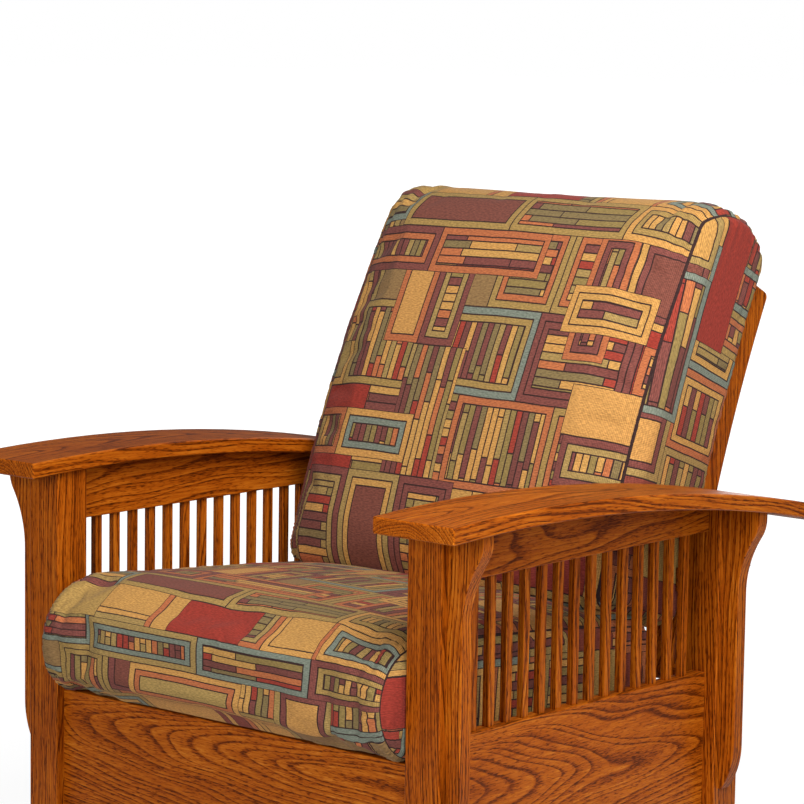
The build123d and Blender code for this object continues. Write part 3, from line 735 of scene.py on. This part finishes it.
def back_ways(point):
    """Where a point is on the back cushion: across, along upwards, and out from the posts."""
    from_centre = Vector(point) - BACK_CENTRE
    reach = math.hypot(from_centre.y, from_centre.z)
    angle = math.atan2(from_centre.z, -from_centre.y)
    return Vector((point[0], (angle - BACK_LOW) * BACK_REAR, reach - BACK_REAR))


for node, ways in (("seat_cushion", seat_ways), ("back_cushion", back_ways)):
    corners = [ways(v.co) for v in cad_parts[node].data.vertices]
    sides = [max(c[i] for c in corners) - min(c[i] for c in corners) for i in range(3)]
    print(node, "across, along and out in mm:", [round(side / MM) for side in sides])

# %% [markdown]
# ## A cover to stuff
#
# A cushion's cover could be modelled face by face, but the frame has its plain solid already. That
# is copied, remeshed into small even squares, which cloth needs to bend the same every way,
# smoothed, and then grown along its normals. The back cushion grows more, because its foam is
# softer and stands out fuller than its plain solid.

# %% Copy a solid and remesh it
VOXEL = 6 * MM
SAME_SPOT = 0.01 * MM
SMOOTHINGS = 3
SMOOTH_SHARE = 0.5
SEAT_GROWN = 2 * MM
BACK_GROWN = 9 * MM


def keep_modifiers(piece):
    """Replaces a piece's mesh by what its modifiers make of it."""
    shown = piece.evaluated_get(bpy.context.evaluated_depsgraph_get())
    mesh = bpy.data.meshes.new_from_object(shown)
    piece.modifiers.clear()
    piece.data = mesh


def push(piece, moves):
    """Moves each point along its own normal; all normals are read before any point moves."""
    normals = [v.normal.copy() for v in piece.data.vertices]
    for vertex, normal, move in zip(piece.data.vertices, normals, moves):
        vertex.co += normal * move


def smooth(piece):
    """Moves each point a share of the way to the middle of its neighbours."""
    form = bmesh.new()
    form.from_mesh(piece.data)
    every_way = {"use_axis_x": True, "use_axis_y": True, "use_axis_z": True}
    bmesh.ops.smooth_vert(form, verts=form.verts, factor=SMOOTH_SHARE, **every_way)
    form.to_mesh(piece.data)
    form.free()


def remeshed_copy(node, name, grown):
    """A new piece with the form of a frame's solid, in small even squares and a little larger."""
    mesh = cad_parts[node].data.copy()
    piece = bpy.data.objects.new(name, mesh)
    bpy.context.scene.collection.objects.link(piece)
    form = bmesh.new()
    form.from_mesh(mesh)
    bmesh.ops.remove_doubles(form, verts=form.verts, dist=SAME_SPOT)
    form.to_mesh(mesh)
    form.free()
    remesh = piece.modifiers.new("even squares", "REMESH")
    remesh.mode = "VOXEL"
    remesh.voxel_size = VOXEL
    keep_modifiers(piece)
    for _ in range(SMOOTHINGS):
        smooth(piece)
    push(piece, [grown] * len(piece.data.vertices))
    return piece


seat_cushion = remeshed_copy("seat_cushion", "seat_cushion_cover", SEAT_GROWN)
back_cushion = remeshed_copy("back_cushion", "back_cushion_cover", BACK_GROWN)
for piece in (seat_cushion, back_cushion):
    print(piece.name, "has", len(piece.data.vertices), "points")

# %% [markdown]
# ## Where the seams run
#
# A gusset is sewn in along the edge where the cushion's end turns into its panel. Each point keeps
# how far its normal leans to the end: above zero it is on the gusset, below on the panel. The
# material reads this value too, so the change from one cloth to the other is a smooth line, and
# not the stairs that a choice by faces would give. Each point also keeps its distance to the
# seam, which later says where the cover is held, where it puckers and where the stitching shows.

# %% Find the end seams
# How far a normal leans on the seam itself, and how close to that a point counts as on it
SEAM_LEAN = 0.64
NEAR_SEAM = 0.13
# The lean is evened out among neighbours, and a point's own counts this many times
EVENINGS = 3
OWN_WEIGHT = 2


def keep_values(mesh, name, values):
    """Stores one number for each point under a name."""
    attribute = mesh.attributes.new(name, "FLOAT", "POINT")
    attribute.data.foreach_set("value", values)


def find_seams(piece):
    """Stores each point's lean to the end and its distance from the nearest seam."""
    mesh = piece.data
    lean = [abs(v.normal.x) - SEAM_LEAN for v in mesh.vertices]
    for _ in range(EVENINGS):
        total = [value * OWN_WEIGHT for value in lean]
        count = [OWN_WEIGHT] * len(lean)
        for edge in mesh.edges:
            first, second = edge.vertices
            total[first] += lean[second]
            total[second] += lean[first]
            count[first] += 1
            count[second] += 1
        lean = [t / c for t, c in zip(total, count)]
    seam = [i for i, value in enumerate(lean) if abs(value) < NEAR_SEAM]
    tree = kdtree.KDTree(len(seam))
    for index in seam:
        tree.insert(mesh.vertices[index].co, index)
    tree.balance()
    gaps = [tree.find(v.co)[2] for v in mesh.vertices]
    keep_values(mesh, "end", lean)
    keep_values(mesh, "seam", gaps)
    return gaps


seat_seam = find_seams(seat_cushion)
back_seam = find_seams(back_cushion)
print("points on the seams:", sum(g < VOXEL for g in seat_seam), sum(g < VOXEL for g in back_seam))

# %% [markdown]
# ## Laying the cloth
#
# The UV map says which spot of the cloth lies on each spot of the cushion, in metres. Unwrapping
# by an operator would stretch it here and there. The panel was a flat length of cloth, so its map
# can be worked out instead: one coordinate goes across the cushion, and the other goes the way
# a tape measure would, along the top, round the nose and back underneath. The gussets are cut
# flat, so theirs is the plain side view. Each cushion gets both maps.

# %% Map the cloth
# Where on the length of cloth the gussets are cut
GUSSET_PLACE = (900 * MM, 370 * MM)
# The back cushion's cover is longer than its plain solid, because it stands out at both ends
BACK_COVER_LONG = BACK_LONG + 30 * MM


def tape(along, out, rounded, long, high):
    """The way of a tape measure from the square end over the top, round the nose and back below."""
    middle = high / 2
    if along - (long - middle) > abs(out - middle):
        return out - high
    if along < rounded:
        swing = math.pi / 2 - math.atan2(out - middle, rounded - along)
        return long - rounded + swing * middle
    if out > middle:
        return long - along
    return long - rounded + math.pi * middle + along - rounded


def lay_cloth(piece, ways, rounded, long, high, flip):
    """Gives a cushion two UV maps: the panel's by the tape's way, the gussets' by their side view."""
    mesh = piece.data
    panel = mesh.uv_layers.new(name="panel")
    gusset = mesh.uv_layers.new(name="gusset")
    spots = [ways(v.co) for v in mesh.vertices]
    for face in mesh.polygons:
        middle = sum((spots[v] for v in face.vertices), Vector()) / len(face.vertices)
        centre = long - middle.y if flip else middle.y
        way = tape(centre, middle.z, rounded, long, high)
        for corner, vertex in zip(face.loop_indices, face.vertices):
            spot = spots[vertex]
            along = long - spot.y if flip else spot.y
            gusset.data[corner].uv = (along + GUSSET_PLACE[0], spot.z + GUSSET_PLACE[1])
            # The face's middle decides on which side of the panel's seam all its corners lie.
            own = tape(along, spot.z, rounded, long, high)
            if abs(own - way) > rounded:
                own = way
            panel.data[corner].uv = (spot.x, own)


lay_cloth(seat_cushion, seat_ways, SEAT_NOSE_ROUND, SEAT_DEEP, SEAT_HIGH, False)
lay_cloth(back_cushion, back_ways, BACK_THICK / 2, BACK_COVER_LONG, BACK_THICK, True)
under_nose = tape(SEAT_DEEP / 2, 0, SEAT_NOSE_ROUND, SEAT_DEEP, SEAT_HIGH)
print("a tape to the middle of the seat cushion's underside reads", round(under_nose / MM), "mm")

# %% [markdown]
# ## Stuffing the cushions
#
# A cushion's form comes from foam that pushes out and a cover that holds it in, so it is made
# that way here too: the copy is blown up as cloth with some pressure inside. The ends' seams are
# held near their place, as a doubled and stitched edge is, so the panel and the gussets swell
# between them. The cloth is two per cent fuller than the foam, which puckers it beside the seams.
#
# Sculpting would give the same, but by hand. The simulation runs twenty steps and always gives the
# same result. After it, each point is kept within a set distance of where it began.

# %% Blow a cushion up
STEPS = 20
SEAM_HELD = 7 * MM
COVER = {
    "quality": 5,
    "mass": 0.3,
    "tension_stiffness": 20,
    "compression_stiffness": 20,
    "shear_stiffness": 8,
    "bending_stiffness": 1.5,
    "use_pressure": True,
    "vertex_group_mass": "seam",
    "pin_stiffness": 0.4,
    "shrink_min": -0.02,
}


def blow_up(piece, gaps, pressure, cap, hold):
    """Runs the cover as cloth with pressure inside, and keeps each point near its start."""
    start = [v.co.copy() for v in piece.data.vertices]
    held = piece.vertex_groups.new(name="seam")
    held.add([i for i, gap in enumerate(gaps) if gap < SEAM_HELD], 1.0, "REPLACE")
    cloth = piece.modifiers.new("cover", "CLOTH")
    for name, value in COVER.items():
        setattr(cloth.settings, name, value)
    cloth.settings.uniform_pressure_force = pressure
    cloth.settings.effector_weights.gravity = 0
    cloth.collision_settings.use_collision = False
    cloth.point_cache.frame_start = 1
    cloth.point_cache.frame_end = STEPS
    for step in range(1, STEPS + 1):
        bpy.context.scene.frame_set(step)
    keep_modifiers(piece)
    far = []
    for vertex, before in zip(piece.data.vertices, start):
        move = vertex.co - before
        far.append(move.length)
        if move.length > cap:
            move *= cap / move.length
        vertex.co = hold(before + move)
    bpy.context.scene.frame_set(1)
    print(piece.name, "moved", round(sum(far) / len(far) / MM, 1), "mm on average")


print("the cloth runs for", STEPS, "steps")

# %% [markdown]
# The wood around a cushion holds it in. The cloth could collide with posts, deck and arms, but that
# takes long and leaves it trembling. The faces that it would meet are plain planes, so each point
# is simply kept on its own side of them.

# %% Keep the cushions off the wood
OFF_WOOD = 0.4 * MM
# The posts' inner faces, and how far the seat cushion may swell before and between them
POST_INSIDE = 320.3 * MM
BEFORE_POSTS = 337 * MM
POST_FRONT_Y = -388 * MM
POST_EASE = 24 * MM
# The crown is firm foam, so what swells above it swells less
SEAT_CROWN = 166 * MM
CROWN_GIVE = 0.35
# The back cushion stays between the arms and sinks a little into the seat cushion
ARM_INSIDE = 307 * MM
SUNK_IN = 14 * MM
# Low down and near the posts the notched ledgers pass the cushion's ends when it reclines
LEDGER_INSIDE = 300.5 * MM
LEDGER_REACH = 75 * MM
LEDGER_ALONG = 155 * MM
LEDGER_EASE = 20 * MM


def hold_seat(point):
    """Keeps the seat cushion off the deck, the posts and the slats."""
    across, along, out = seat_ways(point)
    free = min(max((POST_FRONT_Y - point.y) / POST_EASE, 0), 1)
    limit = POST_INSIDE + (BEFORE_POSTS - POST_INSIDE) * free
    across = min(max(across, -limit), limit)
    out = min(out, SEAT_CROWN) + CROWN_GIVE * max(out - SEAT_CROWN, 0)
    out = max(out, OFF_WOOD)
    turned = Matrix.Rotation(-SEAT_SLOPE, 3, "X") @ Vector((0, along, out))
    return Vector((across, turned.y + SEAT_NOSE.y, turned.z + SEAT_NOSE.z))


def hold_back(point):
    """Keeps the back cushion off the back's posts and between the arms and ledgers."""
    across, along, out = back_ways(point)
    free = max(out - LEDGER_REACH, along - LEDGER_ALONG, 0) / LEDGER_EASE
    limit = LEDGER_INSIDE + (ARM_INSIDE - LEDGER_INSIDE) * min(free, 1)
    across = min(max(across, -limit), limit)
    angle = max(along, -SUNK_IN) / BACK_REAR + BACK_LOW
    reach = max(out, OFF_WOOD) + BACK_REAR
    return Vector(
        (across, BACK_CENTRE.y - reach * math.cos(angle), BACK_CENTRE.z + reach * math.sin(angle))
    )


print("the back cushion sinks", round(SUNK_IN / MM), "mm into the seat cushion")

# %% Stuff both cushions
SEAT_PRESSURE = 1.2
SEAT_CAP = 26 * MM
BACK_PRESSURE = 1.1
BACK_CAP = 18 * MM

blow_up(seat_cushion, seat_seam, SEAT_PRESSURE, SEAT_CAP, hold_seat)
blow_up(back_cushion, back_seam, BACK_PRESSURE, BACK_CAP, hold_back)
print("stuffed")

# %% [markdown]
# ## Seams and puckers
#
# Stitching pulls the cloth down into a narrow groove, and the fullness beside it gathers into short
# folds. The groove and the folds are narrower than the squares of the simulation, so they come
# after it, on a mesh divided once more. They are strongest round the seat cushion's nose and at the
# back cushion's upper and lower ends, where the panel turns sharply.

# %% Sew the ends
GROOVE_WIDE = 3.5 * MM
GROOVE_DEEP = 2.6 * MM
PUCKER_REACH = 30 * MM
PUCKER_HIGH = 2.5 * MM
PUCKER_PITCH = 17 * MM
# No two folds are alike: their height beats along the seam by this share and this often
FOLD_BEAT = 0.4
BEAT_RATE = 1.7
# Distances from the cushion's middle past which it turns sharply, and the folds' strength there
# and elsewhere
SEAT_TURN = 150 * MM
SEAT_FOLDS = (1.0, 0.35)
BACK_TURN = 180 * MM
BACK_FOLDS = (0.8, 0.3)


def seat_folds(along):
    """How strong the seat cushion's folds are at a distance from its middle towards the rear."""
    return SEAT_FOLDS[0] if along < -SEAT_TURN else SEAT_FOLDS[1]


def back_folds(along):
    """How strong the back cushion's folds are at a distance from its middle upwards."""
    return BACK_FOLDS[0] if abs(along) > BACK_TURN else BACK_FOLDS[1]


def sew(piece, ways, strength):
    """Divides the mesh once, then presses in the seams and raises folds beside them."""
    piece.modifiers.new("finer", "SUBSURF").levels = 1
    keep_modifiers(piece)
    mesh = piece.data
    gaps = [0.0] * len(mesh.vertices)
    mesh.attributes["seam"].data.foreach_get("value", gaps)
    centre = ways(sum((v.co for v in mesh.vertices), Vector()) / len(mesh.vertices))
    moves = []
    for vertex, gap in zip(mesh.vertices, gaps):
        spot = ways(vertex.co) - centre
        groove = GROOVE_DEEP * math.exp(-((gap / GROOVE_WIDE) ** 2))
        way = math.atan2(spot.z, spot.y) * math.hypot(spot.y, spot.z) / PUCKER_PITCH
        beat = 1 - FOLD_BEAT + FOLD_BEAT * math.sin(way * BEAT_RATE + 1)
        fold = math.sin(way * math.tau) * beat
        fade = math.exp(-gap / PUCKER_REACH) * (1 - math.exp(-gap / GROOVE_WIDE))
        moves.append(PUCKER_HIGH * fold * fade * strength(spot.y) - groove)
    push(piece, moves)
    for face in mesh.polygons:
        face.use_smooth = True


sew(seat_cushion, seat_ways, seat_folds)
sew(back_cushion, back_ways, back_folds)
for piece, body, node in (
    (seat_cushion, "seat", "seat_cushion"),
    (back_cushion, "back_pad", "back_cushion"),
):
    piece.data.materials.clear()
    piece.data.materials.append(cushion_cloth)
    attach(piece, body)
    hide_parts(node)
    print(piece.name, "has", len(piece.data.polygons), "faces")

# %% [markdown]
# ## Floor, backdrop and light
#
# The chair stands in a plain white studio. The floor is a pale matt sheet. To the camera it also
# glows white, less beside the chair, where its shadow has to show, and more with the distance, so
# that no horizon is seen. The world behind it is white to the camera only. So neither of them
# throws extra light on the chair, or a white haze on its lacquer.

# %% Floor
FLOOR_REACH = 40
PAPER = "C8C8C8"
PAPER_GLOW = 1.2
# The glow's share at a near and at a far distance from the chair
GLOW_DISTANCES = (0.8, 4.0)
GLOW_SHARES = (0.75, 1.0)

floor_mesh = bpy.data.meshes.new("floor")
floor_form = bmesh.new()
bmesh.ops.create_grid(floor_form, x_segments=1, y_segments=1, size=FLOOR_REACH)
floor_form.to_mesh(floor_mesh)
floor_form.free()
floor = bpy.data.objects.new("floor", floor_mesh)
bpy.context.scene.collection.objects.link(floor)
paper = empty_material("white_backdrop_paper")
matt = add_node(paper, "BsdfDiffuse", {"Color": linear(PAPER)})
glow = add_node(paper, "Emission", {"Color": WHITE, "Strength": PAPER_GLOW})
spot = add_node(paper, "TexCoord", []).outputs["Object"]
away = add_node(paper, "VectorMath", [spot], operation="LENGTH").outputs["Value"]
glowing = add_node(paper, "MapRange", [away, *GLOW_DISTANCES, *GLOW_SHARES])
seen = add_node(paper, "LightPath", []).outputs["Is Camera Ray"]
share = add_node(paper, "Math", [seen, glowing], operation="MULTIPLY")
mix = add_node(paper, "MixShader", [share, matt, glow])
add_node(paper, "OutputMaterial", [mix])
floor_mesh.materials.append(paper)
floor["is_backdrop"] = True
print("floor", 2 * FLOOR_REACH, "m wide")

# %% World
ROOM_LIGHT = 0.12

world = bpy.data.worlds.new("studio")
bpy.context.scene.world = world
world.use_nodes = True
world.node_tree.nodes.clear()
seen = add_node(world, "LightPath", []).outputs["Is Camera Ray"]
strength = add_node(world, "MapRange", {"Value": seen, "To Min": ROOM_LIGHT, "To Max": 1.0})
sky = add_node(world, "Background", {"Color": WHITE, "Strength": strength})
add_node(world, "OutputWorld", [sky])
print("world white to the camera, and", ROOM_LIGHT, "to the chair")

# %% [markdown]
# Large soft lamps light the chair at a level where a colour renders about as it is written: one
# beside it, one before it, one above it and a weaker one behind, so that the back can be seen too.

# %% Lamps
# Each lamp's place, its side and its watts
LAMPS = {
    "key": ((2.3, -0.6, 1.5), 1.2, 27),
    "front": ((0.8, -3.6, 1.5), 1.3, 72),
    "above": ((1.3, -0.6, 2.5), 1.4, 64),
    "behind": ((-1.2, 3.4, 1.7), 1.5, 40),
}
CHAIR_MIDDLE = Vector((0, 0, 0.45))

for name, (place, size, watts) in LAMPS.items():
    data = bpy.data.lights.new(name, "AREA")
    data.size = size
    data.energy = watts
    lamp = bpy.data.objects.new(name, data)
    lamp.location = place
    lamp.rotation_euler = (CHAIR_MIDDLE - Vector(place)).to_track_quat("-Z", "Y").to_euler()
    bpy.context.scene.collection.objects.link(lamp)
bpy.context.scene.view_settings.view_transform = "Standard"
print(len(LAMPS), "lamps")

# %% Sizes, and the end
low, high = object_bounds()
print("visual size in mm:", [round(side / MM) for side in high - low])
